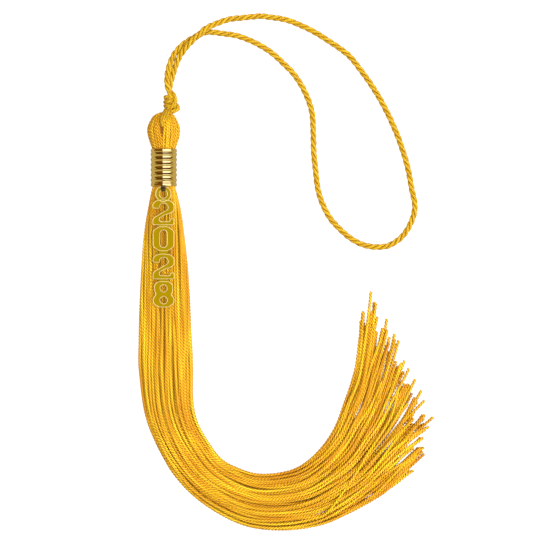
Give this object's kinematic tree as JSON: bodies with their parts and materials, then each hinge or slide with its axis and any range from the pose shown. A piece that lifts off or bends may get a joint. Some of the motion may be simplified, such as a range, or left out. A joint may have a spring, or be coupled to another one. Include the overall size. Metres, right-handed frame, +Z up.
{
  "type": "graduation tassel",
  "caption": "Graduation tassel with an onion-shaped yarn head, ribbed metal sleeve, curved yarn skirt, numeral charm and a twisted hanging loop",
  "frame": {"origin": "on the surface that the tassel lies on, in the middle of its box without the hanging loop", "axes": "+Z up from the surface, +Y along the ferrule from the skirt to the knot, +X towards the fan of the skirt"},
  "size_m": [0.1091, 0.1918, 0.012],
  "materials": {
    "yarn": "lustrous twisted rayon yarn",
    "cord": "lustrous three-ply twisted cord",
    "polished_gold": "polished",
    "cast_gold": "antique gold face with a bright rim",
    "black_thread": "matt thread"
  },
  "bodies": {
    "tassel": {"yarn_tassel": "yarn", "ferrule": "polished_gold", "hanging_loop": "cord", "cord_knot": "cord", "head_tie": "cord", "charm_thread": "black_thread"},
    "charm": {"year_charm": "cast_gold"}
  },
  "joints": [
    {"name": "charm_lift", "type": "hinge", "parent": "tassel", "child": "charm", "pos_m": [-0.0451, 0.0455, 0.01045], "axis": [-1, 0, 0], "range_deg": [0, 170]}
  ]
}
